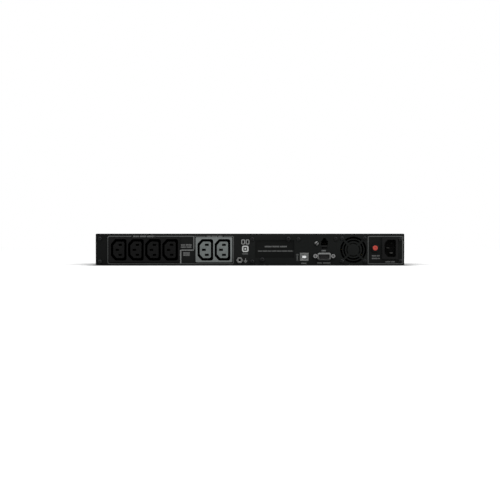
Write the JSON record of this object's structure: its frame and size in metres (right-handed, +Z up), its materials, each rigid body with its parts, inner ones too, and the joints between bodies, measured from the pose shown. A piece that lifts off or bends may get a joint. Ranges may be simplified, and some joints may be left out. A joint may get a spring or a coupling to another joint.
{
  "type": "rackmount uninterruptible power supply",
  "caption": "Low, wide rack-mounted uninterruptible power supply with a rear panel of cord outlets, ports and a fan, and a sliding battery tray behind a vented front.",
  "frame": {"origin": "centre of the rack-ear bolt pattern, on the plane where the ears meet the rack rails", "axes": "+X to the right when the connector face is viewed, -Y out of the connector face, +Y out of the control face, +Z up"},
  "size_m": [0.4826, 0.3969, 0.0444],
  "materials": {
    "ac_inlet_pins": "satin",
    "ac_inlet_shell": "matte",
    "battery_blocks": "matte",
    "battery_bulkhead": "satin",
    "battery_fascia": "matte",
    "battery_leads": "satin",
    "battery_plug": "matte",
    "battery_socket": "matte",
    "battery_tray": "satin",
    "board_mounts": "satin",
    "breaker_body": "matte",
    "breaker_button": "satin",
    "breaker_nut": "matte",
    "capacitors": "satin",
    "case_screws": "satin",
    "chassis_tray": "matte",
    "comm_board": "satin",
    "control_bezel": "matte",
    "display_button": "satin",
    "epo_jack": "matte",
    "expansion_card_guides": "matte",
    "expansion_cover": "matte",
    "fan_bearing": "satin",
    "fan_frame": "matte",
    "fan_rotor": "matte",
    "fan_screws": "satin",
    "fan_stator": "satin",
    "filter_chokes": "satin",
    "grounding_screws": "satin",
    "heatsinks": "satin",
    "lcd_lens": "gloss",
    "lcd_module": "satin",
    "main_board": "satin",
    "mute_button": "satin",
    "outlet_bank_aux_core": "matte",
    "outlet_bank_aux_shell": "matte",
    "outlet_bank_main_core": "matte",
    "outlet_bank_main_shell": "matte",
    "power_button": "satin",
    "power_contacts": "satin",
    "power_transistors": "satin",
    "power_wiring": "satin",
    "rack_ear_left": "matte",
    "rack_ear_right": "matte",
    "rear_panel": "matte",
    "rear_panel_screws": "satin",
    "relays": "satin",
    "serial_core": "matte",
    "serial_jackscrews": "satin",
    "serial_shell": "satin",
    "signal_contacts": "polished",
    "top_cover": "matte",
    "transformer_clamp": "satin",
    "transformer_coil": "satin",
    "transformer_pads": "matte",
    "tray_handle": "matte",
    "tray_screws": "satin",
    "ui_board": "satin",
    "usb_core": "matte",
    "usb_shell": "satin"
  },
  "bodies": {
    "chassis": {"ac_inlet_pins": "ac_inlet_pins", "ac_inlet_shell": "ac_inlet_shell", "battery_bulkhead": "battery_bulkhead", "battery_socket": "battery_socket", "board_mounts": "board_mounts", "breaker_body": "breaker_body", "breaker_nut": "breaker_nut", "capacitors": "capacitors", "case_screws": "case_screws", "chassis_tray": "chassis_tray", "comm_board": "comm_board", "control_bezel": "control_bezel", "epo_jack": "epo_jack", "expansion_card_guides": "expansion_card_guides", "expansion_cover": "expansion_cover", "fan_bearing": "fan_bearing", "fan_frame": "fan_frame", "fan_screws": "fan_screws", "fan_stator": "fan_stator", "filter_chokes": "filter_chokes", "grounding_screws": "grounding_screws", "heatsinks": "heatsinks", "lcd_lens": "lcd_lens", "lcd_module": "lcd_module", "main_board": "main_board", "outlet_bank_aux_core": "outlet_bank_aux_core", "outlet_bank_aux_shell": "outlet_bank_aux_shell", "outlet_bank_main_core": "outlet_bank_main_core", "outlet_bank_main_shell": "outlet_bank_main_shell", "power_contacts": "power_contacts", "power_transistors": "power_transistors", "power_wiring": "power_wiring", "rack_ear_left": "rack_ear_left", "rack_ear_right": "rack_ear_right", "rear_panel": "rear_panel", "rear_panel_screws": "rear_panel_screws", "relays": "relays", "serial_core": "serial_core", "serial_jackscrews": "serial_jackscrews", "serial_shell": "serial_shell", "signal_contacts": "signal_contacts", "top_cover": "top_cover", "transformer_clamp": "transformer_clamp", "transformer_coil": "transformer_coil", "transformer_pads": "transformer_pads", "ui_board": "ui_board", "usb_core": "usb_core", "usb_shell": "usb_shell"},
    "fan_rotor": {"fan_rotor": "fan_rotor"},
    "breaker_button": {"breaker_button": "breaker_button"},
    "power_button": {"power_button": "power_button"},
    "display_button": {"display_button": "display_button"},
    "mute_button": {"mute_button": "mute_button"},
    "battery_drawer": {"battery_tray": "battery_tray", "battery_blocks": "battery_blocks", "battery_leads": "battery_leads", "battery_plug": "battery_plug", "tray_handle": "tray_handle", "tray_screws": "tray_screws"},
    "drawer_fascia": {"battery_fascia": "battery_fascia"}
  },
  "joints": [
    {"name": "fan_spin", "type": "hinge", "parent": "chassis", "child": "fan_rotor", "pos_m": [0.145, -0.358, -0.00045], "axis": [0, 1, 0], "continuous": true},
    {"name": "breaker_reset", "type": "slide", "parent": "chassis", "child": "breaker_button", "axis": [0, -1, 0], "range_m": [0, 0.003]},
    {"name": "power_press", "type": "slide", "parent": "chassis", "child": "power_button", "axis": [0, -1, 0], "range_m": [0, 0.0012]},
    {"name": "display_press", "type": "slide", "parent": "chassis", "child": "display_button", "axis": [0, -1, 0], "range_m": [0, 0.0008]},
    {"name": "mute_press", "type": "slide", "parent": "chassis", "child": "mute_button", "axis": [0, -1, 0], "range_m": [0, 0.0008]},
    {"name": "battery_slide", "type": "slide", "parent": "chassis", "child": "battery_drawer", "axis": [0, 1, 0], "range_m": [0, 0.2]},
    {"name": "fascia_pull", "type": "slide", "parent": "battery_drawer", "child": "drawer_fascia", "axis": [0, 1, 0], "range_m": [0, 0.04]}
  ]
}
